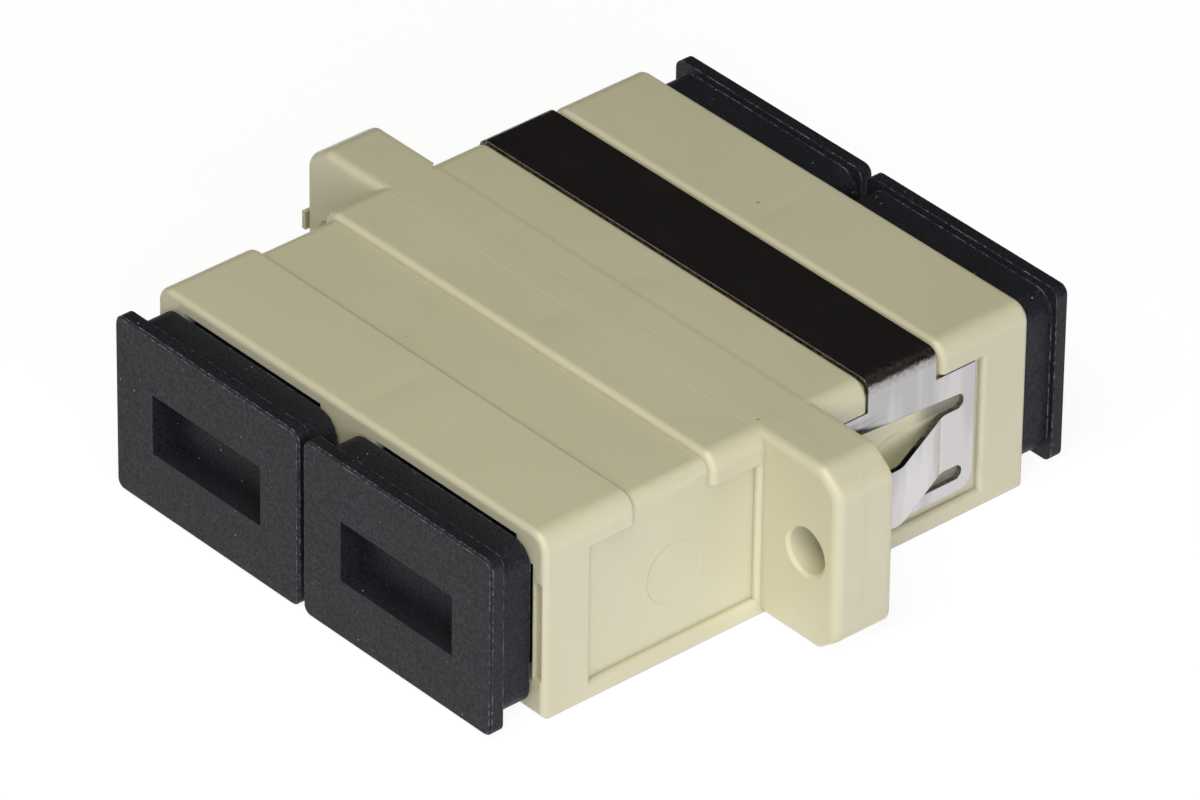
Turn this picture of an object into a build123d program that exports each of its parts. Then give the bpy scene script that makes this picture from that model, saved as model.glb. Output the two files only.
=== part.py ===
from build123d import *
import os

# Duplex fibre optic adapter with a flange, a spring steel clip and four dust caps, in millimetres.
# X runs along the flange, the ports face -Y (front) and +Y (rear), and Z is up.
# The origin is at the centre of the underside. The two halves are welded on the plane y = 0.

# Ports
PORT_PITCH = 12.7
PORT_W = 9.1
PORT_H = 7.5
LEAD_IN = 0.2
GROOVE_DEPTH = 1.05
GROOVE_H = 5.9

# Body, as walls around the ports
WALL_T = 0.85
SIDE_WALL_T = 0.75
BODY_L = 27.4
TOP_CORNER = 0.85
EDGE_ROUND = 0.3

# Flange and its two ears
FLANGE_T = 3.05
SCREW_FROM_BODY = 2.7
SCREW_TO_EAR_END = 2.0
SCREW_HOLE_R = 1.1
SCREW_RIM = 0.15
EAR_CUT_X = 1.2
EAR_CUT_Z = 0.9
EAR_ROUND = 1.0
FLANGE_ROUND = 0.45

# Belt channel over the top and recess in each side, which seat the clip
LEDGE_W = 2.875
CHANNEL_DEPTH = 0.35
CHANNEL_CORNER = 0.6
STEP_ROUND = 0.3
RECESS_DEPTH = 0.33
RECESS_FROM_FLANGE = 0.27
RECESS_FROM_MOUTH = 2.65
RECESS_LOW = 0.8
RECESS_ROUND = 0.25
LIP_H = 1.45

# Small marks of the moulding
END_POCKET_H = 4.9
END_POCKET_DROP = 0.3
END_POCKET_DEPTH = 0.25
END_POCKET_OUTER_SKIN = 0.2
END_POCKET_INNER_SKIN = 0.1
GATE_W = 0.9
GATE_RISE = 0.35
GATE_H = 0.22
GATE_T = 0.6

# Latch inserts
INSERT_GAP = 0.05
INSERT_BASE_T = 1.3
HOLDER_WALL = 0.75
HOLDER_LIP = 0.5
HOLDER_LIP_CLEAR = 0.155
HOOK_T = 0.7
HOOK_FROM_MOUTH = 2.7
HOOK_PLAY = 0.15
HOOK_END_PLAY = 0.55
NOSE_DEPTH = 0.95
NOSE_L = 1.4

# Alignment sleeves for 2.5 mm ferrules
SLEEVE_BORE_R = 1.245
SLEEVE_T = 0.355
SLEEVE_L = 11.4
SLEEVE_SLIT = 0.5
SLEEVE_PLAY = 0.05

# Spring clip
SHEET = 0.25
CLIP_GAP = 0.03
STRAP_W = 3.9
STRAP_FRONT_GAP = 0.03
STRAP_REAR_GAP = 0.29
STRAP_BOW = 0.12
FOLD_R = 0.4
PLATE_FROM_MOUTH_END = 0.4
PLATE_FROM_FLANGE = 0.65
PLATE_FROM_RECESS_LOW = 0.5
PLATE_UNDER_LIP = 0.1
PLATE_CORNER = 0.8
TONGUE_W = 2.93
TONGUE_FROM_PLATE_LOW = 1.38
SLOT_W = 0.72
SLOT_END_FLAT = 0.02
SLOT_FROM_PLATE_END = 0.65
WINDOW_FROM_PLATE_START = 0.825
WINDOW_RISE = 0.4
TONGUE_ROOT_L = 1.2
PANEL_ROOM = 2.075
TONGUE_TIP_L = 1.2
TONGUE_OUT = 1.82
TONGUE_BEND_R = 1.1

# Dust caps
CAP_PLAY = 0.2
CAP_STANDOFF = 0.22
CAP_NEIGHBOUR_GAP = 0.3
CAP_PLATE_SHORT = 0.15
CAP_PLATE_T = 0.7
CAP_PLATE_CORNER = 0.5
CAP_EDGE = 0.1
COLLAR_SIDE_STEP = 0.3
COLLAR_TOP_STEP = 0.375
COLLAR_L = 1.7
COLLAR_CORNER = 1.0
GRIP_W = 7.2
GRIP_H = 3.0
GRIP_DEPTH = 1.2
GUIDE_L = 1.5
PLUG_L = 8.4
PLUG_FLOOR_T = 1.0
PLUG_HOOK_CLEAR = 0.5
PLUG_HOLDER_CLEAR = 0.35

# Sizes and places worked out from those above
GROOVE_W = PORT_W + 2 * GROOVE_DEPTH
BODY_W = PORT_PITCH + GROOVE_W + 2 * SIDE_WALL_T
BODY_H = PORT_H + 2 * WALL_T
AXIS_Z = BODY_H / 2
HALF_L = BODY_L / 2
SCREW_SPACING = BODY_W + 2 * SCREW_FROM_BODY
FLANGE_W = SCREW_SPACING + 2 * SCREW_TO_EAR_END
FLANGE_FACE = FLANGE_T / 2
CHANNEL_START = FLANGE_FACE + LEDGE_W
CHANNEL_W = STRAP_FRONT_GAP + STRAP_W + STRAP_REAR_GAP
RECESS_START = FLANGE_FACE + RECESS_FROM_FLANGE
RECESS_END = HALF_L - RECESS_FROM_MOUTH
RECESS_HIGH = BODY_H - LIP_H
SIDE_FLOOR = BODY_W / 2 - RECESS_DEPTH
TOP_FLOOR = BODY_H - CHANNEL_DEPTH
SLEEVE_R = SLEEVE_BORE_R + SLEEVE_T
HOLDER_R = SLEEVE_R + SLEEVE_PLAY + HOLDER_WALL
HOOK_IN = GROOVE_W / 2 - HOOK_PLAY - HOOK_T
CLEAR = 5.0


def port_plane(port_x, facing, height=AXIS_Z):
    """The plane on the axis of a port: its z leads out of the mouth, its y is up."""
    return Plane(origin=(port_x, 0, height), x_dir=(facing, 0, 0), z_dir=(0, -facing, 0))


def body_outline():
    """The body's cross-section, with its upper corners rounded."""
    with BuildSketch(mode=Mode.PRIVATE) as outline:
        with Locations((0, AXIS_Z)):
            Rectangle(BODY_W, BODY_H)
        fillet(outline.vertices().group_by(Axis.Y)[-1], TOP_CORNER)
    return outline.sketch


def finish(piece, name):
    """Labels a finished piece and writes it."""
    piece.label = name
    export_step(piece, f"parts/{name}.step")


os.makedirs("parts", exist_ok=True)

# Front housing: half of the body and half of the flange, from the weld to the mouths of the two ports
with BuildPart() as front_housing:
    # Half of the flange: its four corners are cut, and all but the underside's edges are rounded
    with BuildSketch(Plane.XZ) as flange_outline:
        with BuildLine():
            Polyline(
                (FLANGE_W / 2, EAR_CUT_Z),
                (FLANGE_W / 2, BODY_H - EAR_CUT_Z),
                (FLANGE_W / 2 - EAR_CUT_X, BODY_H),
                (-FLANGE_W / 2 + EAR_CUT_X, BODY_H),
                (-FLANGE_W / 2, BODY_H - EAR_CUT_Z),
                (-FLANGE_W / 2, EAR_CUT_Z),
                (-FLANGE_W / 2 + EAR_CUT_X, 0),
                (FLANGE_W / 2 - EAR_CUT_X, 0),
                close=True,
            )
        make_face()
        fillet(flange_outline.vertices().filter_by(lambda corner: corner.Y > 0), EAR_ROUND)
    extrude(amount=FLANGE_FACE)
    fillet(front_housing.faces().sort_by(Axis.Y)[0].outer_wire().edges(), FLANGE_ROUND)

    # Half of the body, flush with the flange above and below
    with BuildSketch(Plane.XZ):
        add(body_outline())
    extrude(amount=HALF_L)

    # Recess in each side for the clip's plates
    for side in (-1, 1):
        with BuildSketch(Plane.YZ.offset(side * SIDE_FLOOR)):
            with Locations((-RECESS_END, RECESS_LOW)):
                Rectangle(RECESS_END - RECESS_START, RECESS_HIGH - RECESS_LOW, align=(Align.MIN, Align.MIN))
        extrude(amount=side * CLEAR, mode=Mode.SUBTRACT)
        outer = front_housing.edges().filter_by(lambda edge: abs(edge.center().X - side * BODY_W / 2) < 1e-6)
        rim = outer.filter_by(Axis.Y).filter_by(lambda edge: abs(edge.center().Z - RECESS_LOW) < 1e-6)
        for rim_y in (-RECESS_START, -RECESS_END):
            rim += outer.filter_by(Axis.Z).filter_by(lambda edge: abs(edge.center().Y - rim_y) < 1e-6)
        fillet(rim, RECESS_ROUND)

    # Belt channel for the clip's strap, which leaves a lip over the recess on each side of it
    with BuildSketch(Plane.XZ.offset(CHANNEL_START)):
        with Locations((0, AXIS_Z)):
            Rectangle(BODY_W + CLEAR, AXIS_Z + CLEAR, align=(Align.CENTER, Align.MIN))
        with BuildSketch(mode=Mode.PRIVATE) as core:
            with Locations((0, TOP_FLOOR / 2)):
                Rectangle(2 * SIDE_FLOOR, TOP_FLOOR)
            fillet(core.vertices().group_by(Axis.Y)[-1], CHANNEL_CORNER)
        add(core.sketch, mode=Mode.SUBTRACT)
    extrude(amount=CHANNEL_W, mode=Mode.SUBTRACT)
    for step_y in (-CHANNEL_START, -CHANNEL_START - CHANNEL_W):
        step = front_housing.edges().filter_by(lambda edge: abs(edge.center().Y - step_y) < 1e-6)
        raised = max(CHANNEL_DEPTH, RECESS_DEPTH) / 2
        step = step.filter_by(
            lambda edge: abs(edge.center().X) > SIDE_FLOOR + raised or edge.center().Z > TOP_FLOOR + raised
        )
        fillet(step, STEP_ROUND)

    # The outer edge of the front face is rounded
    fillet(front_housing.faces().sort_by(Axis.Y)[0].outer_wire().edges(), EDGE_ROUND)

    # Ports: a rectangular opening with a groove in each side for the latch hooks
    for port_x in (-PORT_PITCH / 2, PORT_PITCH / 2):
        with BuildSketch(port_plane(port_x, 1)):
            Rectangle(PORT_W, PORT_H)
            Rectangle(GROOVE_W, GROOVE_H)
        extrude(amount=HALF_L, mode=Mode.SUBTRACT)
        # The latch insert's base is held behind the corners of the opening
        with BuildSketch(port_plane(port_x, 1)):
            Rectangle(GROOVE_W, PORT_H)
        extrude(amount=INSERT_BASE_T + INSERT_GAP, mode=Mode.SUBTRACT)
    mouth_edges = (
        front_housing.faces().sort_by(Axis.Y)[0].edges()
        .filter_by(Axis.X)
        .filter_by(lambda edge: abs(abs(edge.center().Z - AXIS_Z) - PORT_H / 2) < LEAD_IN)
    )
    chamfer(mouth_edges, LEAD_IN)

    # Shallow pocket in the end of each outer wall
    pocket_w = SIDE_WALL_T - END_POCKET_OUTER_SKIN - END_POCKET_INNER_SKIN
    pocket_x = BODY_W / 2 - END_POCKET_OUTER_SKIN - pocket_w / 2
    for side in (-1, 1):
        with BuildSketch(Plane.XZ.offset(HALF_L)):
            with Locations((side * pocket_x, AXIS_Z - END_POCKET_DROP)):
                Rectangle(pocket_w, END_POCKET_H)
        extrude(amount=-END_POCKET_DEPTH, mode=Mode.SUBTRACT)

    # Screw hole with a bevelled rim in each ear
    with BuildSketch(Plane.XZ):
        with GridLocations(SCREW_SPACING, 0, 2, 1):
            with Locations((0, AXIS_Z)):
                Circle(SCREW_HOLE_R)
    extrude(amount=FLANGE_FACE, mode=Mode.SUBTRACT)
    rims = front_housing.edges().filter_by(GeomType.CIRCLE).filter_by(
        lambda edge: abs(edge.radius - SCREW_HOLE_R) < 1e-6 and edge.center().Y < -FLANGE_FACE / 2
    )
    chamfer(rims, SCREW_RIM)

    # Gate vestige on the left ear's end
    with BuildSketch(Plane.YZ.offset(-FLANGE_W / 2)):
        with Locations((-FLANGE_FACE + GATE_T / 2, AXIS_Z + GATE_RISE)):
            Rectangle(GATE_T, GATE_W)
    extrude(amount=-GATE_H)

# Rear housing: the same half turned to the other side of the weld
with BuildPart() as rear_housing:
    mirror(front_housing.part, about=Plane.XZ)

finish(front_housing.part, "front_housing")
finish(rear_housing.part, "rear_housing")

# Latch inserts: a base plate with half of the sleeve holder and two hooks in the grooves of the port
hook_h = GROOVE_H - 2 * HOOK_END_PLAY
hook_reach = HALF_L - HOOK_FROM_MOUTH
for end, facing in (("front", 1), ("rear", -1)):
    for hand, port_x in (("left", -PORT_PITCH / 2), ("right", PORT_PITCH / 2)):
        with BuildPart() as insert:
            with BuildSketch(port_plane(port_x, facing)):
                Rectangle(GROOVE_W - 2 * INSERT_GAP, PORT_H - 2 * INSERT_GAP)
            extrude(amount=INSERT_BASE_T)
            holder_l = SLEEVE_L / 2 + SLEEVE_PLAY + HOLDER_LIP
            with BuildSketch(port_plane(port_x, facing)):
                Circle(HOLDER_R)
            extrude(amount=holder_l)
            with BuildSketch(port_plane(port_x, facing)):
                Circle(SLEEVE_R + SLEEVE_PLAY)
            extrude(amount=holder_l - HOLDER_LIP, mode=Mode.SUBTRACT)
            with BuildSketch(port_plane(port_x, facing)):
                Circle(SLEEVE_BORE_R + HOLDER_LIP_CLEAR)
            extrude(amount=holder_l, mode=Mode.SUBTRACT)
            # Each hook is a beam whose nose reaches into the port, seen from above as one outline
            for side in (-1, 1):
                hook_low = (port_x, 0, AXIS_Z - hook_h / 2)
                with BuildSketch(Plane(origin=hook_low, x_dir=(facing, 0, 0), z_dir=(0, 0, 1))):
                    with BuildLine():
                        Polyline(
                            (side * HOOK_IN, -INSERT_BASE_T / 2),
                            (side * (HOOK_IN + HOOK_T), -INSERT_BASE_T / 2),
                            (side * (HOOK_IN + HOOK_T), -hook_reach),
                            (side * HOOK_IN, -hook_reach),
                            (side * (HOOK_IN - NOSE_DEPTH), -hook_reach + NOSE_L / 2),
                            (side * (HOOK_IN - NOSE_DEPTH), -hook_reach + NOSE_L),
                            (side * HOOK_IN, -hook_reach + NOSE_L),
                            close=True,
                        )
                    make_face()
                extrude(amount=hook_h)
        finish(insert.part, f"latch_insert_{end}_{hand}")

# Alignment sleeves: a split tube that runs through both inserts of a port
for hand, port_x in (("left", -PORT_PITCH / 2), ("right", PORT_PITCH / 2)):
    with BuildPart() as sleeve:
        with BuildSketch(port_plane(port_x, 1)):
            Circle(SLEEVE_R)
            Circle(SLEEVE_BORE_R, mode=Mode.SUBTRACT)
            with Locations((0, SLEEVE_R)):
                Rectangle(SLEEVE_SLIT, 2 * (SLEEVE_R - SLEEVE_BORE_R) + SLEEVE_SLIT, mode=Mode.SUBTRACT)
        extrude(amount=SLEEVE_L / 2, both=True)
    finish(sleeve.part, f"alignment_sleeve_{hand}")

# Spring clip: one steel sheet folded over the body, cut to its outline, with a tongue lanced out of each side
sheet_x = SIDE_FLOOR + CLIP_GAP + SHEET / 2
sheet_z = TOP_FLOOR + STRAP_BOW + SHEET / 2
strap_start = CHANNEL_START + STRAP_FRONT_GAP
plate_start = FLANGE_FACE + PLATE_FROM_FLANGE
plate_end = RECESS_END - PLATE_FROM_MOUTH_END
plate_low = RECESS_LOW + PLATE_FROM_RECESS_LOW
window_start = plate_start + WINDOW_FROM_PLATE_START
slot_end = plate_end - SLOT_FROM_PLATE_END
tongue_low = plate_low + TONGUE_FROM_PLATE_LOW
tongue_high = tongue_low + TONGUE_W
tongue_bend = slot_end - TONGUE_ROOT_L
tongue_tip = FLANGE_FACE + PANEL_ROOM
with BuildPart() as spring_clip:
    with BuildSketch(Plane.XZ):
        with BuildLine() as fold:
            FilletPolyline(
                (-sheet_x, plate_low),
                (-sheet_x, sheet_z),
                (sheet_x, sheet_z),
                (sheet_x, plate_low),
                radius=FOLD_R,
            )
        trace(fold.line, SHEET)
    extrude(amount=-HALF_L)

    with BuildSketch(Plane.YZ) as blank:
        # Side plate, with the strap as its neck
        with Locations((plate_start, plate_low)):
            Rectangle(
                plate_end - plate_start,
                RECESS_HIGH - PLATE_UNDER_LIP - plate_low,
                align=(Align.MIN, Align.MIN),
            )
        fillet(blank.vertices().group_by(Axis.Y)[0], PLATE_CORNER)
        with Locations((strap_start, plate_low)):
            Rectangle(STRAP_W, sheet_z + SHEET - plate_low, align=(Align.MIN, Align.MIN))
        # Slots above and below the tongue's root, which open into the window in front of it
        with BuildLine():
            Polyline(
                (window_start, tongue_low - SLOT_W),
                (slot_end, tongue_low - SLOT_W),
                (slot_end, tongue_low),
                (tongue_bend, tongue_low),
                (tongue_bend, tongue_high),
                (slot_end, tongue_high),
                (slot_end, tongue_high + SLOT_W),
                (window_start, tongue_high + SLOT_W + WINDOW_RISE),
                close=True,
            )
        make_face(mode=Mode.SUBTRACT)
    extrude(amount=FLANGE_W / 2, both=True, mode=Mode.INTERSECT)

    # Slot ends are round
    slot_ends = spring_clip.edges().filter_by(Axis.X).filter_by(
        lambda edge: abs(edge.center().Y - slot_end) < 1e-6
    )
    fillet(slot_ends, (SLOT_W - SLOT_END_FLAT) / 2)

    # Tongues: flat at the root, then a ramp out to the crest and a straight end behind the panel
    for side in (-1, 1):
        with BuildSketch(Plane.XY.offset(tongue_low)):
            with BuildLine() as spine:
                FilletPolyline(
                    (side * sheet_x, slot_end),
                    (side * sheet_x, tongue_bend),
                    (side * (sheet_x + TONGUE_OUT), tongue_tip + TONGUE_TIP_L),
                    (side * (sheet_x + TONGUE_OUT), tongue_tip),
                    radius=TONGUE_BEND_R,
                )
            trace(spine.line, SHEET)
        extrude(amount=TONGUE_W)
finish(spring_clip.part, "spring_clip")

# Dust caps: a plate with a blind grip pocket, a collar against the mouth and a hollow plug inside the port
collar_in = HALF_L + CAP_STANDOFF
collar_out = collar_in + COLLAR_L
plate_out = collar_out + CAP_PLATE_T
guide_in = collar_in - GUIDE_L
plug_in = collar_in - PLUG_L
plug_w = 2 * (HOOK_IN - NOSE_DEPTH - PLUG_HOOK_CLEAR)
plate_w = PORT_PITCH - CAP_PLAY - CAP_NEIGHBOUR_GAP
plate_h = BODY_H - 2 * CAP_PLATE_SHORT
collar_w = plate_w - 2 * COLLAR_SIDE_STEP
collar_h = plate_h - 2 * COLLAR_TOP_STEP
for end, facing in (("front", 1), ("rear", -1)):
    for hand, side in (("left", -1), ("right", 1)):
        # Each cap sags and leans towards its neighbour by half of its play in the port
        seat = port_plane(side * (PORT_PITCH - CAP_PLAY) / 2, facing, AXIS_Z - CAP_PLAY / 2)
        with BuildPart() as cap:
            with BuildSketch(seat.offset(plug_in)):
                Rectangle(plug_w, PORT_H - 2 * CAP_PLAY)
            extrude(amount=guide_in - plug_in)
            with BuildSketch(seat.offset(guide_in)):
                Rectangle(PORT_W - 2 * CAP_PLAY, PORT_H - 2 * CAP_PLAY)
            extrude(amount=GUIDE_L)
            with BuildSketch(seat.offset(collar_in)):
                RectangleRounded(collar_w, collar_h, COLLAR_CORNER)
            extrude(amount=COLLAR_L)
            with BuildSketch(seat.offset(collar_out)):
                RectangleRounded(plate_w, plate_h, CAP_PLATE_CORNER)
            extrude(amount=CAP_PLATE_T)
            outer_face = cap.faces().sort_by(Axis.Y)[0 if facing == 1 else -1]
            chamfer(outer_face.outer_wire().edges(), CAP_EDGE)
            with BuildSketch(seat.offset(plate_out)):
                Rectangle(GRIP_W, GRIP_H)
            extrude(amount=-GRIP_DEPTH, mode=Mode.SUBTRACT)
            # The bore clears the sleeve holder
            with BuildSketch(seat.offset(plug_in)):
                Circle(HOLDER_R + PLUG_HOLDER_CLEAR)
            extrude(amount=PLUG_L - PLUG_FLOOR_T, mode=Mode.SUBTRACT)
        finish(cap.part, f"dust_cap_{end}_{hand}")
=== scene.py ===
import bpy
import math
from mathutils import Euler, Matrix, Vector


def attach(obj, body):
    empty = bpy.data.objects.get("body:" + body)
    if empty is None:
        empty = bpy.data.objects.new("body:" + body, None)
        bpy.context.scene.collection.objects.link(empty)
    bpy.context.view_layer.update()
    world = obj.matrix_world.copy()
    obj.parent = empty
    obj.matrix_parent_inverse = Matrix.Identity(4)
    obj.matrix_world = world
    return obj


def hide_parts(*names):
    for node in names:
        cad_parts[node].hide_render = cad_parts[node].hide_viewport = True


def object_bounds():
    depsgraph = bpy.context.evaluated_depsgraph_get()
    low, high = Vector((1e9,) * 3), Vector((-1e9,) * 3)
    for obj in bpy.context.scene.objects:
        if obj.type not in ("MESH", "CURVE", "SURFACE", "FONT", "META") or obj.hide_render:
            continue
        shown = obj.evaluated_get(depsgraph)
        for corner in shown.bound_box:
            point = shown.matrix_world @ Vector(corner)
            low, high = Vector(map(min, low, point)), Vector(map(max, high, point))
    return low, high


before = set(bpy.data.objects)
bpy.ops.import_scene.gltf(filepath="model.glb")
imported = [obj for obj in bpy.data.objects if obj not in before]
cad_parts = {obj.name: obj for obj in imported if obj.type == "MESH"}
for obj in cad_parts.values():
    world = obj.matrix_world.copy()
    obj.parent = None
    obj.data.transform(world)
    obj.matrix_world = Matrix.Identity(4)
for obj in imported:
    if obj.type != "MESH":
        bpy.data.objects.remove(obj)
cad_low, cad_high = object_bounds()
MM = 0.001


# Housing halves. Two identical mouldings in beige thermoplastic, welded together in the middle of
# the flange. The glossy steel of the tool leaves a smooth skin that has sunk over the wall between the
# two ports, and handling has left a few specks in it.
FLANGE_HALF = 1.525


def node(material, kind, inputs=None, **settings):
    """Adds a shader node with its settings, and its sockets' values or the sockets they are fed from."""
    made = material.node_tree.nodes.new(kind)
    for name, value in settings.items():
        setattr(made, name, value)
    for name, value in (inputs or {}).items():
        if isinstance(value, bpy.types.NodeSocket):
            material.node_tree.links.new(value, made.inputs[name])
        else:
            made.inputs[name].default_value = value
    return made


def new_finish(name):
    """A material with nothing in it yet, and the point of the surface in the object's own frame."""
    material = bpy.data.materials.new(name)
    material.use_nodes = True
    material.node_tree.nodes.clear()
    where = node(material, "ShaderNodeTexCoord").outputs["Object"]
    return material, where


def calc(material, operation, first, second=0.0, third=0.0):
    """One step of arithmetic on a value of the surface."""
    made = node(material, "ShaderNodeMath", {0: first, 1: second, 2: third}, operation=operation)
    return made.outputs[0]


def add_all(material, values):
    """The sum of several values of the surface."""
    total = values[0]
    for value in values[1:]:
        total = calc(material, "ADD", total, value)
    return total


def times_all(material, values):
    """The product of several values of the surface."""
    total = values[0]
    for value in values[1:]:
        total = calc(material, "MULTIPLY", total, value)
    return total


def place_in_mm(material, where):
    """The surface point's x, y and z in mm."""
    axes = node(material, "ShaderNodeSeparateXYZ", {0: where})
    return [calc(material, "DIVIDE", axes.outputs[index], MM) for index in range(3)]


def grain(material, where, size_mm, detail=2.0, stretch=(1, 1, 1), roughness=0.5):
    """Soft random cloud whose features are about size_mm across, from 0 to 1."""
    scaled = node(material, "ShaderNodeVectorMath", {0: where, 1: [s / (size_mm * MM) for s in stretch]},
                  operation="MULTIPLY").outputs[0]
    return node(material, "ShaderNodeTexNoise", {"Vector": scaled, "Scale": 1.0, "Detail": detail,
                                                 "Roughness": roughness}).outputs["Fac"]


def between(material, value, low, high, to_low=0.0, to_high=1.0):
    """Maps a value from one range to another, held at its ends."""
    return node(material, "ShaderNodeMapRange", {"Value": value, "From Min": low, "From Max": high,
                                                 "To Min": to_low, "To Max": to_high}).outputs[0]


def tint(material, amount, colour_a, colour_b):
    """Goes from one colour to another by an amount."""
    factor, first, second, result = 0, 6, 7, 2
    made = node(material, "ShaderNodeMix", {factor: amount, first: colour_a, second: colour_b},
                data_type="RGBA")
    return made.outputs[result]


def specks(material, where, spacing_mm, size_mm, share):
    """Small round specks, one or none in each cell of the given spacing, 1 on a speck and 0 off it."""
    scaled = node(material, "ShaderNodeVectorMath", {0: where, "Scale": 1 / (spacing_mm * MM)},
                  operation="SCALE")
    cells = node(material, "ShaderNodeTexVoronoi", {"Vector": scaled.outputs[0], "Scale": 1.0})
    lot = node(material, "ShaderNodeSeparateColor", {0: cells.outputs["Color"]})
    reach = between(material, lot.outputs[0], 1 - share, 1.0, 0.0, size_mm / spacing_mm / 2)
    inside = calc(material, "SUBTRACT", reach, cells.outputs["Distance"])
    return between(material, inside, 0.0, 0.15 * size_mm / spacing_mm)


def relief(material, height, depth_mm=1.0):
    """Bump from a height whose 1 stands for depth_mm."""
    inputs = {"Height": height, "Strength": 1.0, "Distance": depth_mm * MM}
    return node(material, "ShaderNodeBump", inputs).outputs[0]


def broken_edge(material, radius, skin=None, samples=3):
    """The skin's direction with every edge broken by a small radius, in metres."""
    inputs = {"Radius": radius}
    if skin is not None:
        inputs["Normal"] = skin
    return node(material, "ShaderNodeBevel", inputs, samples=samples).outputs[0]


def finish_with(material, shader):
    """Puts a shader on the material's output."""
    node(material, "ShaderNodeOutputMaterial", {"Surface": shader})


beige, spot = new_finish("moulded_beige")
x_mm, y_mm, z_mm = place_in_mm(beige, spot)
cloud = grain(beige, spot, 8.0, 1.0)
patch = grain(beige, spot, 1.6, 2.0)
fine = grain(beige, spot, 0.09, 3.0)
body_colour = tint(beige, between(beige, cloud, 0.3, 0.7), (0.592, 0.562, 0.377, 1), (0.616, 0.588, 0.400, 1))
body_colour = tint(beige, between(beige, patch, 0.3, 0.7, 0.0, 0.10), body_colour, (0.60, 0.56, 0.36, 1))
dark_dots = specks(beige, spot, 1.9, 0.10, 0.12)
light_dots = specks(beige, spot, 1.3, 0.07, 0.14)
# Nicks and grains of dust that handling has left: x, y and z, radius, and light or dark
MARKS = (
    (0.0, 1.5, 9.2, 0.09, "light"),
    (-0.86, 10.23, 9.2, 0.12, "dark"),
    (-3.08, -7.89, 8.9, 0.09, "dark"),
    (11.7, -1.0, 9.2, 0.10, "dark"),
)
for mark_x, mark_y, mark_z, mark_r, tone in MARKS:
    centre = (mark_x * MM, mark_y * MM, mark_z * MM)
    reach = node(beige, "ShaderNodeVectorMath", {0: spot, 1: centre}, operation="DISTANCE").outputs["Value"]
    mark = between(beige, reach, mark_r * MM, 0.6 * mark_r * MM)
    if tone == "light":
        light_dots = calc(beige, "MAXIMUM", light_dots, mark)
    else:
        dark_dots = calc(beige, "MAXIMUM", dark_dots, mark)
body_colour = tint(beige, calc(beige, "MULTIPLY", dark_dots, 0.55), body_colour, (0.22, 0.19, 0.11, 1))
body_colour = tint(beige, calc(beige, "MULTIPLY", light_dots, 0.5), body_colour, (0.80, 0.78, 0.66, 1))
# Painted light: the floor of the recess is paler under the clip's window, to lift the shade the clip casts
# there
WINDOW_LOW, WINDOW_HIGH = 2.6, 6.5
WINDOW_END = 7.6
painted_window_light = times_all(beige, [
    between(beige, z_mm, WINDOW_LOW, WINDOW_LOW + 0.4),
    between(beige, z_mm, WINDOW_HIGH, WINDOW_HIGH + 0.3, 1.0, 0.0),
    between(beige, y_mm, WINDOW_END, WINDOW_END + 0.6, 0.9, 0.0),
    between(beige, y_mm, FLANGE_HALF + 0.3, FLANGE_HALF + 0.8),
])
body_colour = tint(beige, painted_window_light, body_colour, (0.84, 0.82, 0.54, 1))
# Painted shade: the floor of the recess is darkened under the clip's slots, where the sheet shades it
SLOT_START, SLOT_END = 8.0, 10.1
SLOT_HEIGHTS = (2.3, 5.97)
SLOT_HALF = 0.30
for slot_z in SLOT_HEIGHTS:
    off_slot = calc(beige, "ABSOLUTE", calc(beige, "SUBTRACT", z_mm, slot_z))
    painted_slot_shade = times_all(beige, [
        between(beige, y_mm, SLOT_START - 0.8, SLOT_START + 0.6),
        between(beige, y_mm, SLOT_END, SLOT_END + 0.1, 1.0, 0.0),
        between(beige, off_slot, SLOT_HALF, SLOT_HALF + 0.12, 0.75, 0.0),
    ])
    body_colour = tint(beige, painted_slot_shade, body_colour, (0.13, 0.125, 0.095, 1))
# Painted shade: the creases are tinted dark brown where little open sky reaches them
open_sky = node(beige, "ShaderNodeAmbientOcclusion", {"Distance": 0.35 * MM}, samples=2, only_local=True)
painted_crease_shade = between(beige, open_sky.outputs["AO"], 0.75, 0.30, 0.0, 0.45)
body_colour = tint(beige, painted_crease_shade, body_colour, (0.30, 0.255, 0.14, 1))

# Sink dents where the skin has sunk over the wall between the ports: place x and y, half width, half
# length and depth in mm. Each is a crease along the wall that fades out at its ends.
SINKS = (
    (0.05, -11.0, 0.75, 1.9, 0.050),
    (0.0, -6.6, 0.6, 1.4, 0.010),
    (0.1, -2.5, 0.50, 0.85, 0.050),
    (0.2, 2.6, 0.60, 1.2, 0.030),
    (0.1, 10.7, 0.55, 1.4, 0.035),
)
CREASE_SOFTNESS = 0.12
heights = []
for sink_x, sink_y, half_width, half_length, depth in SINKS:
    off_x = calc(beige, "SUBTRACT", x_mm, sink_x)
    off_x = calc(beige, "SQRT", calc(beige, "MULTIPLY_ADD", off_x, off_x, CREASE_SOFTNESS ** 2))
    off_y = calc(beige, "DIVIDE", calc(beige, "SUBTRACT", y_mm, sink_y), half_length)
    fade = calc(beige, "MULTIPLY_ADD", calc(beige, "MULTIPLY", off_y, off_y), -1.0,
                calc(beige, "DIVIDE", off_x, -half_width))
    heights.append(calc(beige, "MULTIPLY", calc(beige, "EXPONENT", fade), -depth))
# The flange stands a hair proud of the body in front and behind, where two parts of the tool met
heights.append(between(beige, y_mm, -FLANGE_HALF - 0.05, -FLANGE_HALF + 0.05, 0.0, 0.010))
heights.append(between(beige, y_mm, FLANGE_HALF - 0.20, FLANGE_HALF + 0.06, 0.0, -0.025))
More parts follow.
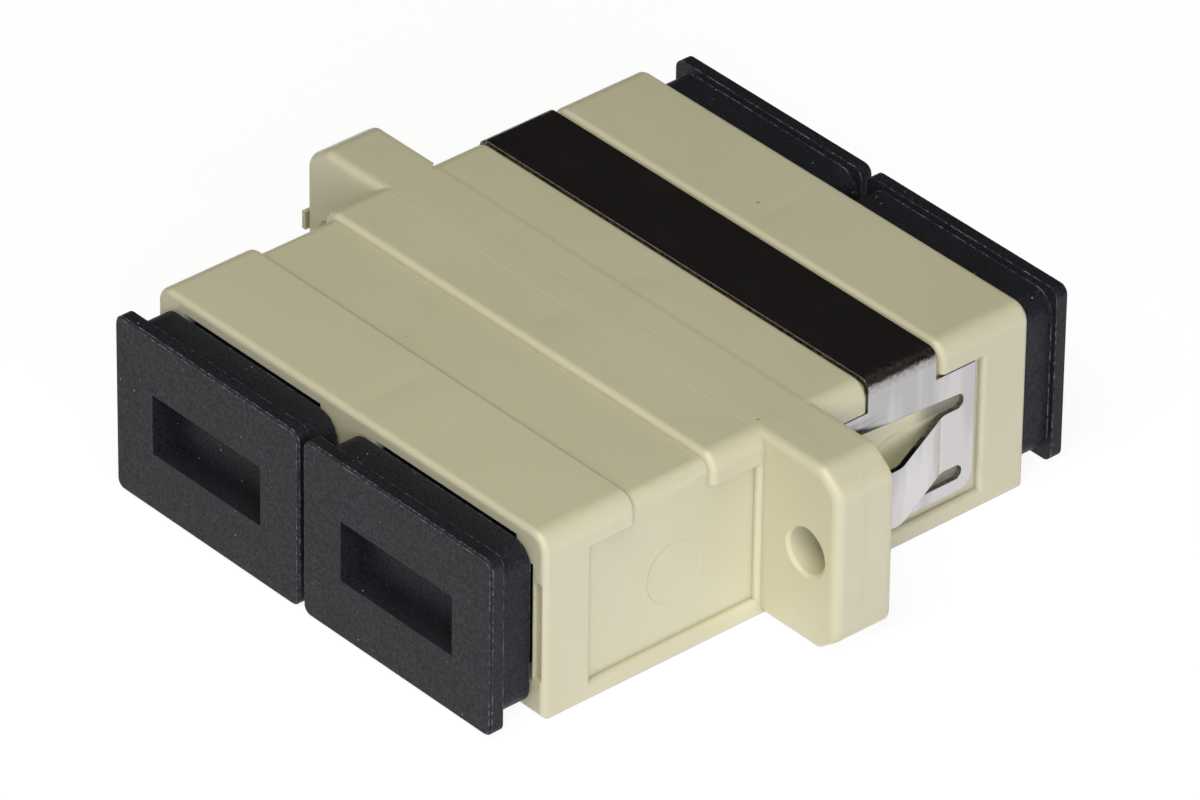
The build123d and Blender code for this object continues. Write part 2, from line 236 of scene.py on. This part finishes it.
# The weld seam dips in front of the joint, and the rear half stands up behind it. It shows on top and
# fades out towards the left ear.
dip = add_all(beige, [
    between(beige, y_mm, -0.30, -0.10, 0.0, -0.006),
    between(beige, y_mm, -0.01, 0.06, 0.0, 0.012),
    between(beige, y_mm, 0.06, 0.50, 0.0, -0.006),
])
heights.append(times_all(beige, [dip, between(beige, z_mm, 8.0, 8.4), between(beige, x_mm, -14.0, -12.0)]))
# Marks of the round pins that pushed each half out of its tool, in the recesses of its sides
PIN_Y, PIN_Z = 6.22, 4.1
PIN_R = 1.5
pin_y = calc(beige, "SUBTRACT", calc(beige, "ABSOLUTE", y_mm), PIN_Y)
pin_z = calc(beige, "SUBTRACT", z_mm, PIN_Z)
pin_off = calc(beige, "MULTIPLY_ADD", pin_y, pin_y, calc(beige, "MULTIPLY", pin_z, pin_z))
heights.append(between(beige, calc(beige, "SQRT", pin_off), PIN_R - 0.03, PIN_R + 0.03, -0.022, 0.0))
# Slow waves of the skin, its fine texture, and the specks
heights.append(calc(beige, "MULTIPLY", grain(beige, spot, 3.2, 1.0), 0.012))
heights.append(calc(beige, "MULTIPLY", fine, 0.0020))
heights.append(calc(beige, "MULTIPLY", calc(beige, "SUBTRACT", light_dots, dark_dots), 0.006))
# Every edge is broken by a hair, least at the seam, where the two halves meet flush
edge_r = between(beige, calc(beige, "ABSOLUTE", y_mm), 0.03, 0.08, 0.008 * MM, 0.05 * MM)
plastic = node(beige, "ShaderNodeBsdfPrincipled", {
    "Base Color": body_colour,
    "Roughness": between(beige, patch, 0.3, 0.7, 0.28, 0.33),
    "IOR": 1.5,
    "Subsurface Weight": 0.25,
    "Subsurface Radius": (1.0, 0.8, 0.45),
    "Subsurface Scale": 0.35 * MM,
    "Normal": broken_edge(beige, edge_r, relief(beige, add_all(beige, heights))),
})
finish_with(beige, plastic.outputs[0])


def dress(names, finish):
    """Gives CAD nodes their finish."""
    for name in names:
        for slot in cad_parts[name].material_slots:
            slot.material = finish


dress(["front_housing", "rear_housing"], beige)


# Rear half with square ears. The tool closes on the rear face of the flange, so the rear edges of the
# two ears are left sharp. The piece is the rear housing with the rounding of these edges drawn out
# to the corner.
EAR_START = 12.75
EAR_EDGE = 0.45
HAIR = 0.001 * MM
LEVEL = 0.999


def rounded_edge_points(mesh):
    """For each point on the rounded rear edges of the ears, the way out of the ear's side there."""
    ways_out = {}
    for polygon in mesh.polygons:
        on_ear = abs(polygon.center.x) >= EAR_START * MM
        on_edge = polygon.center.y >= (FLANGE_HALF - EAR_EDGE) * MM - HAIR and polygon.normal.y <= LEVEL
        if not (on_ear and on_edge):
            continue
        for index in polygon.loop_indices:
            corner = mesh.loops[index].vertex_index
            place = mesh.vertices[corner].co
            facing = mesh.corner_normals[index].vector
            out = Vector((facing.x, 0, facing.z))
            if place.y < FLANGE_HALF * MM - HAIR and abs(place.x) < cad_high[0] + HAIR and out.length > 0.2:
                ways_out[corner] = out.normalized()
    return ways_out


def squared(along, across, radius):
    """A point of a quarter circle, moved out from its centre to the square around it."""
    if abs(along - across) < 0.12 * radius:
        return radius, radius
    reach = max(along, across)
    return along * radius / reach, across * radius / reach


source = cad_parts["rear_housing"]
ears_mesh = source.data.copy()
ears_mesh.name = "rear_housing_square_ears"
normals = [tuple(corner.vector) for corner in ears_mesh.corner_normals]
ways_out = rounded_edge_points(ears_mesh)
for corner, out in ways_out.items():
    place = ears_mesh.vertices[corner].co
    along = place.y - (FLANGE_HALF - EAR_EDGE) * MM
    across = math.sqrt(max((EAR_EDGE * MM) ** 2 - along ** 2, 0))
    new_along, new_across = squared(along, across, EAR_EDGE * MM)
    place += out * (new_across - across)
    place.y += new_along - along
for polygon in ears_mesh.polygons:
    corners = [ears_mesh.loops[index].vertex_index for index in polygon.loop_indices]
    if not any(corner in ways_out for corner in corners):
        continue
    on_rear_face = all(ears_mesh.vertices[corner].co.y > FLANGE_HALF * MM - HAIR for corner in corners)
    for index, corner in zip(polygon.loop_indices, corners):
        if on_rear_face:
            normals[index] = (0, 1, 0)
        elif corner in ways_out:
            normals[index] = tuple(ways_out[corner])
ears_mesh.normals_split_custom_set(normals)
ears_mesh.materials.clear()
ears_mesh.materials.append(beige)
rear_half = bpy.data.objects.new("rear_housing_square_ears", ears_mesh)
bpy.context.scene.collection.objects.link(rear_half)
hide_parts("rear_housing")
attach(rear_half, "adapter")


# Latch inserts. Four mouldings in undyed plastic, clipped into the ports from the weld side before the
# halves are joined. Each carries half of the sleeve's holder and two hooks.
natural, spot = new_finish("natural_insert_plastic")
cloud = grain(natural, spot, 2.2, 3.0)
insert_colour = tint(natural, between(natural, cloud, 0.3, 0.7), (0.62, 0.59, 0.48, 1), (0.70, 0.67, 0.57, 1))
plastic = node(natural, "ShaderNodeBsdfPrincipled", {
    "Base Color": insert_colour,
    "Roughness": between(natural, cloud, 0.3, 0.7, 0.42, 0.52),
    "Subsurface Weight": 0.3,
    "Subsurface Radius": (1.0, 0.85, 0.6),
    "Subsurface Scale": 0.4 * MM,
    "Normal": relief(natural, grain(natural, spot, 0.12, 2.0), 0.002),
})
finish_with(natural, plastic.outputs[0])
ENDS = ("front", "rear")
HANDS = ("left", "right")
dress([f"latch_insert_{end}_{hand}" for end in ENDS for hand in HANDS], natural)


# Alignment sleeves. A tube of phosphor bronze strip, rolled and left split along its top so that it
# springs onto the ferrules. The rolling leaves fine lines around it.
bronze, spot = new_finish("phosphor_bronze")
rolled = grain(bronze, spot, 0.25, 3.0, stretch=(0.3, 3.0, 0.3))
cloud = grain(bronze, spot, 1.5, 2.0)
bronze_colour = tint(bronze, between(bronze, cloud, 0.3, 0.7), (0.72, 0.47, 0.27, 1), (0.80, 0.55, 0.33, 1))
metal = node(bronze, "ShaderNodeBsdfPrincipled", {
    "Base Color": bronze_colour,
    "Metallic": 1.0,
    "Roughness": between(bronze, rolled, 0.3, 0.7, 0.2, 0.34),
    "Normal": relief(bronze, rolled, 0.0015),
})
finish_with(bronze, metal.outputs[0])
dress([f"alignment_sleeve_{hand}" for hand in HANDS], bronze)


# Spring clip. Bright rolled stainless spring steel, stamped and folded over the body. The sheet keeps
# faint bands from the rolls and a film of oil that dulls it, the bending has roughened its folds, darker
# reflections on its plates and shade on the walls of its slots are painted in, and its strap's sheared edges
# carry oil and a painted reflection.
CLIP_OUTSIDE = 12.38
STRAP_TOP = cad_high[2] / MM
FOLD_REACH = 0.25
FOLD_X, FOLD_Z = CLIP_OUTSIDE - FOLD_REACH, STRAP_TOP - 0.53
steel, spot = new_finish("bright_spring_steel")
x_mm, y_mm, z_mm = place_in_mm(steel, spot)
side_mm = calc(steel, "ABSOLUTE", x_mm)
rolled = grain(steel, spot, 0.35, 3.0, stretch=(0.08, 1.6, 1.6))
speckle = grain(steel, spot, 0.14, 3.0, roughness=0.65)
# Bands of oil film across the plates, and a painted darkening of their reflection towards the fold and the
# front of each plate
painted_reflection_slope = between(steel, calc(steel, "MULTIPLY_ADD", y_mm, -0.6, z_mm), -3.5, 4.5, -0.16, 0.16)
film_and_painted_reflection = calc(steel, "ADD", grain(steel, spot, 1.4, 2.0, stretch=(0.5, 1.0, 0.16)), painted_reflection_slope)
steel_colour = tint(steel, between(steel, film_and_painted_reflection, 0.35, 0.68), (0.74, 0.70, 0.705, 1), (0.60, 0.565, 0.57, 1))
# Painted reflection: the bent tongues are darkened, more where the film is thicker
painted_tongue_reflection = between(steel, side_mm, CLIP_OUTSIDE + 0.04, CLIP_OUTSIDE + 0.22)
steel_colour = tint(steel, calc(steel, "MULTIPLY", painted_tongue_reflection, between(steel, film_and_painted_reflection, 0.4, 0.6, 0.45, 0.9)),
                    steel_colour, (0.45, 0.445, 0.455, 1))
dull = calc(steel, "ADD", between(steel, film_and_painted_reflection, 0.4, 0.75, 0.08, 0.18),
            between(steel, rolled, 0.3, 0.7, 0.0, 0.04))
# The folds are roughened by the bending, and tarnished brown
fold = calc(steel, "MULTIPLY",
            between(steel, calc(steel, "SUBTRACT", side_mm, FOLD_X), -FOLD_REACH, FOLD_REACH),
            between(steel, calc(steel, "SUBTRACT", z_mm, FOLD_Z), -FOLD_REACH, FOLD_REACH))
steel_colour = tint(steel, calc(steel, "MULTIPLY", fold, between(steel, speckle, 0.42, 0.60, 0.15, 0.8)),
                    steel_colour, (0.20, 0.165, 0.13, 1))
# Faint brown blotches on the strap
blotch = calc(steel, "MULTIPLY", between(steel, z_mm, STRAP_TOP - 0.32, STRAP_TOP - 0.12),
              between(steel, grain(steel, spot, 0.5, 4.0), 0.5, 0.75))
steel_colour = tint(steel, calc(steel, "MULTIPLY", blotch, 0.25), steel_colour, (0.42, 0.32, 0.25, 1))
dull = calc(steel, "ADD", dull, calc(steel, "MULTIPLY", blotch, 0.03))
# Painted shade: the sheared walls of the slots and the window are darkened as if in shade, with a few bright
# spots left
facing = node(steel, "ShaderNodeSeparateXYZ", {0: node(steel, "ShaderNodeTexCoord").outputs["Normal"]})
painted_slot_wall_shade = times_all(steel, [
    between(steel, calc(steel, "ABSOLUTE", facing.outputs[0]), 0.5, 0.25),
    between(steel, side_mm, CLIP_OUTSIDE - 0.02, CLIP_OUTSIDE + 0.02),
    between(steel, z_mm, 7.7, 7.3),
    between(steel, speckle, 0.44, 0.58, 0.30, 0.92),
])
steel_colour = tint(steel, painted_slot_wall_shade, steel_colour, (0.10, 0.095, 0.075, 1))
# Painted reflection: a dark band with brushed streaks stands over the front of the window
PAINTED_DARK_LOW, PAINTED_DARK_HIGH = 6.35, 7.5
brushed = grain(steel, spot, 0.5, 3.0, stretch=(1.0, 0.3, 2.5))
painted_dark_reflection = times_all(steel, [
    between(steel, z_mm, PAINTED_DARK_LOW, PAINTED_DARK_LOW + 0.35),
    between(steel, z_mm, PAINTED_DARK_HIGH, PAINTED_DARK_HIGH - 0.6),
    between(steel, y_mm, 5.6, 3.6),
    between(steel, brushed, 0.36, 0.60, 0.0, 0.85),
])
steel_colour = tint(steel, painted_dark_reflection, steel_colour, (0.055, 0.045, 0.04, 1))
# Olive tint in dots along the strap's sheared edges: oil on them, and a painted reflection of the beige ledge
# beside them
edge_oil_and_painted_reflection = times_all(steel, [
    between(steel, calc(steel, "ABSOLUTE", facing.outputs[1]), 0.6, 0.9),
    between(steel, z_mm, STRAP_TOP - 0.72, STRAP_TOP - 0.52),
    between(steel, speckle, 0.38, 0.55, 0.4, 0.95),
])
steel_colour = tint(steel, edge_oil_and_painted_reflection, steel_colour, (0.10, 0.085, 0.045, 1))
steel_skin = relief(steel, add_all(steel, [
    times_all(steel, [fold, speckle, 0.035]),
    calc(steel, "MULTIPLY", rolled, 0.0005),
    calc(steel, "MULTIPLY", grain(steel, spot, 2.0, 1.0), 0.016),
]))
metal = node(steel, "ShaderNodeBsdfPrincipled", {
    "Base Color": steel_colour,
    "Metallic": 1.0,
    "Roughness": calc(steel, "MULTIPLY_ADD", fold, 0.12, dull),
    "Normal": broken_edge(steel, 0.045 * MM, steel_skin),
})
finish_with(steel, metal.outputs[0])
dress(["spring_clip"], steel)


# Dust caps. Soft black plastic, moulded with an evenly eroded surface. They have picked up white dust,
# most of it along the outer edges, where it lies in a broken line.
PORT_PITCH = 12.7
PORT_Z = 4.6
POCKET_CLEAR_X, POCKET_CLEAR_Z = 4.4, 2.8
black, spot = new_finish("black_cap_plastic")
x_mm, y_mm, z_mm = place_in_mm(black, spot)
eroded = grain(black, spot, 0.13, 4.0, roughness=0.7)
cloud = grain(black, spot, 2.2, 3.0)
cap_colour = tint(black, between(black, eroded, 0.38, 0.68), (0.0065, 0.0068, 0.009, 1),
                  (0.030, 0.031, 0.038, 1))
cap_colour = tint(black, between(black, cloud, 0.3, 0.7, 0.0, 0.45), cap_colour, (0.008, 0.008, 0.009, 1))
dusty = calc(black, "MAXIMUM", calc(black, "MULTIPLY", specks(black, spot, 0.48, 0.12, 0.5), 0.42),
             calc(black, "MULTIPLY", specks(black, spot, 0.27, 0.065, 0.6), 0.22))
true_edge = node(black, "ShaderNodeNewGeometry").outputs["Normal"]
turn = node(black, "ShaderNodeVectorMath", {0: true_edge, 1: broken_edge(black, 0.08 * MM, samples=2)},
            operation="DOT_PRODUCT").outputs["Value"]
side_mm = calc(black, "ABSOLUTE", x_mm)
from_middle_x = calc(black, "ABSOLUTE", calc(black, "SUBTRACT", side_mm, PORT_PITCH / 2))
from_middle_z = calc(black, "ABSOLUTE", calc(black, "SUBTRACT", z_mm, PORT_Z))
edge_dust = times_all(black, [
    between(black, turn, 0.995, 0.90),
    between(black, grain(black, spot, 0.25, 3.0, roughness=0.7), 0.48, 0.60, 0.05, 0.75),
    calc(black, "MAXIMUM", between(black, from_middle_x, POCKET_CLEAR_X, POCKET_CLEAR_X + 0.2),
         between(black, from_middle_z, POCKET_CLEAR_Z, POCKET_CLEAR_Z + 0.2)),
])
dusty = calc(black, "MAXIMUM", dusty, edge_dust)
cap_colour = tint(black, dusty, cap_colour, (0.55, 0.55, 0.55, 1))
cap_skin = relief(black, calc(black, "MULTIPLY_ADD", eroded, 0.015, calc(black, "MULTIPLY", dusty, 0.02)))
plastic = node(black, "ShaderNodeBsdfPrincipled", {
    "Base Color": cap_colour,
    "Roughness": between(black, eroded, 0.35, 0.65, 0.56, 0.40),
    "IOR": 1.46,
    "Specular IOR Level": 0.22,
    "Normal": broken_edge(black, 0.05 * MM, cap_skin, samples=2),
})
finish_with(black, plastic.outputs[0])
dress([f"dust_cap_{end}_{hand}" for end in ENDS for hand in HANDS], black)


# Studio. The adapter lies on a white floor that runs out of view. A large soft lamp stands to its
# right, a weaker one hangs above the camera, a third lights the far sides, and a dark screen behind
# it is all that the metal's upper side mirrors.
FLOOR_SIZE = 3.0
FLOOR_Z = -0.02
FLOOR_WHITE = 0.86
SEEN_GLOW = 0.90
SEEN_SHADE = 0.18


def seen_directly(material):
    """1 for what the eye, metal or glass sees, and 0 for what lights the object."""
    path = node(material, "ShaderNodeLightPath")
    mirrored = calc(material, "MAXIMUM", path.outputs["Is Glossy Ray"], path.outputs["Is Transmission Ray"])
    return calc(material, "MAXIMUM", path.outputs["Is Camera Ray"], mirrored)


paper, spot = new_finish("floor_paper")
seen = seen_directly(paper)
shade = between(paper, seen, 0.0, 1.0, FLOOR_WHITE, FLOOR_WHITE * SEEN_SHADE)
matt = node(paper, "ShaderNodeBsdfDiffuse", {"Color": shade})
glow = node(paper, "ShaderNodeEmission", {"Color": (1, 1, 1, 1),
                                          "Strength": calc(paper, "MULTIPLY", seen, SEEN_GLOW)})
finish_with(paper, node(paper, "ShaderNodeAddShader", {0: matt.outputs[0], 1: glow.outputs[0]}).outputs[0])
half = FLOOR_SIZE / 2
floor_mesh = bpy.data.meshes.new("floor")
floor_mesh.from_pydata([(-half, -half, FLOOR_Z * MM), (half, -half, FLOOR_Z * MM), (half, half, FLOOR_Z * MM),
                        (-half, half, FLOOR_Z * MM)], [], [(0, 1, 2, 3)])
floor_mesh.materials.append(paper)
floor = bpy.data.objects.new("floor", floor_mesh)
bpy.context.scene.collection.objects.link(floor)

SCREEN_R = 0.5
SCREEN_LOW, SCREEN_RISE = 1.0, 84.0
SCREEN_START, SCREEN_TURN = -20.0, 215.0
SCREEN_STEPS = 12
velvet, spot = new_finish("dark_screen")
finish_with(velvet, node(velvet, "ShaderNodeEmission", {"Color": (0.014, 0.012, 0.012, 1)}).outputs[0])
points, quads = [], []
for row in range(SCREEN_STEPS + 1):
    rise = math.radians(SCREEN_LOW + SCREEN_RISE * row / SCREEN_STEPS)
    for column in range(SCREEN_STEPS + 1):
        turn = math.radians(SCREEN_START + SCREEN_TURN * column / SCREEN_STEPS)
        points.append((SCREEN_R * math.cos(turn) * math.cos(rise), SCREEN_R * math.sin(turn) * math.cos(rise),
                       SCREEN_R * math.sin(rise)))
        if row < SCREEN_STEPS and column < SCREEN_STEPS:
            first = row * (SCREEN_STEPS + 1) + column
            quads.append((first, first + 1, first + SCREEN_STEPS + 2, first + SCREEN_STEPS + 1))
screen_mesh = bpy.data.meshes.new("dark_screen")
screen_mesh.from_pydata(points, [], quads)
screen_mesh.materials.append(velvet)
screen = bpy.data.objects.new("dark_screen", screen_mesh)
bpy.context.scene.collection.objects.link(screen)
screen.visible_camera = False
screen.visible_diffuse = False
screen.visible_shadow = False
screen.visible_transmission = False

world = bpy.data.worlds.new("studio")
bpy.context.scene.world = world
world.use_nodes = True
world.node_tree.nodes.clear()
white = node(world, "ShaderNodeBackground", {"Color": (1, 1, 1, 1), "Strength": seen_directly(world)})
node(world, "ShaderNodeOutputWorld", {"Surface": white.outputs[0]})


def soft_lamp(name, width, height, centre, power, colour, mirrored=False):
    """A rectangular soft lamp aimed at the object, which shiny surfaces mirror or don't."""
    data = bpy.data.lights.new(name, "AREA")
    data.shape = "RECTANGLE"
    data.size = width
    data.size_y = height
    data.energy = power
    data.color = colour
    lamp = bpy.data.objects.new(name, data)
    bpy.context.scene.collection.objects.link(lamp)
    lamp.matrix_world = (Matrix.Translation(centre)
                         @ (-Vector(centre)).to_track_quat("-Z", "Y").to_matrix().to_4x4())
    lamp.visible_glossy = mirrored


soft_lamp("lamp_right", 0.35, 0.28, (0.41, -0.20, 0.17), 2.06, (0.84, 0.832, 1.0))
soft_lamp("lamp_above", 0.14, 0.14, (0.05, -0.10, 0.20), 0.308, (1.0, 0.99, 0.873), mirrored=True)
soft_lamp("lamp_behind", 0.40, 0.30, (-0.36, 0.34, 0.09), 0.55, (0.97, 0.97, 1.0))


# Camera. It stands half a metre from the adapter, to its front right and above it, with a long lens,
# so that the far end looks hardly smaller than the near one.
AZIMUTH = math.radians(48.491)
ELEVATION = math.radians(33.773)
ROLL = math.radians(0.7708)
DISTANCE = 486.25 * MM
TARGET = Vector((0.5206, 0.0061, 4.0231)) * MM
towards_camera = Vector((math.sin(AZIMUTH) * math.cos(ELEVATION), -math.cos(AZIMUTH) * math.cos(ELEVATION),
                         math.sin(ELEVATION)))
camera_data = bpy.data.cameras.new("camera")
camera_data.sensor_width = 36.0
camera_data.lens = 339.44
camera_data.clip_start = 0.01
camera_data.clip_end = 20.0
camera = bpy.data.objects.new("camera", camera_data)
bpy.context.scene.collection.objects.link(camera)
turned = (Euler((0, 0, AZIMUTH)).to_matrix() @ Euler((math.pi / 2 - ELEVATION, 0, 0)).to_matrix()
          @ Euler((0, 0, ROLL)).to_matrix())
camera.matrix_world = Matrix.Translation(TARGET + towards_camera * DISTANCE) @ turned.to_4x4()
bpy.context.scene.camera = camera
bpy.context.scene.view_settings.view_transform = "Standard"
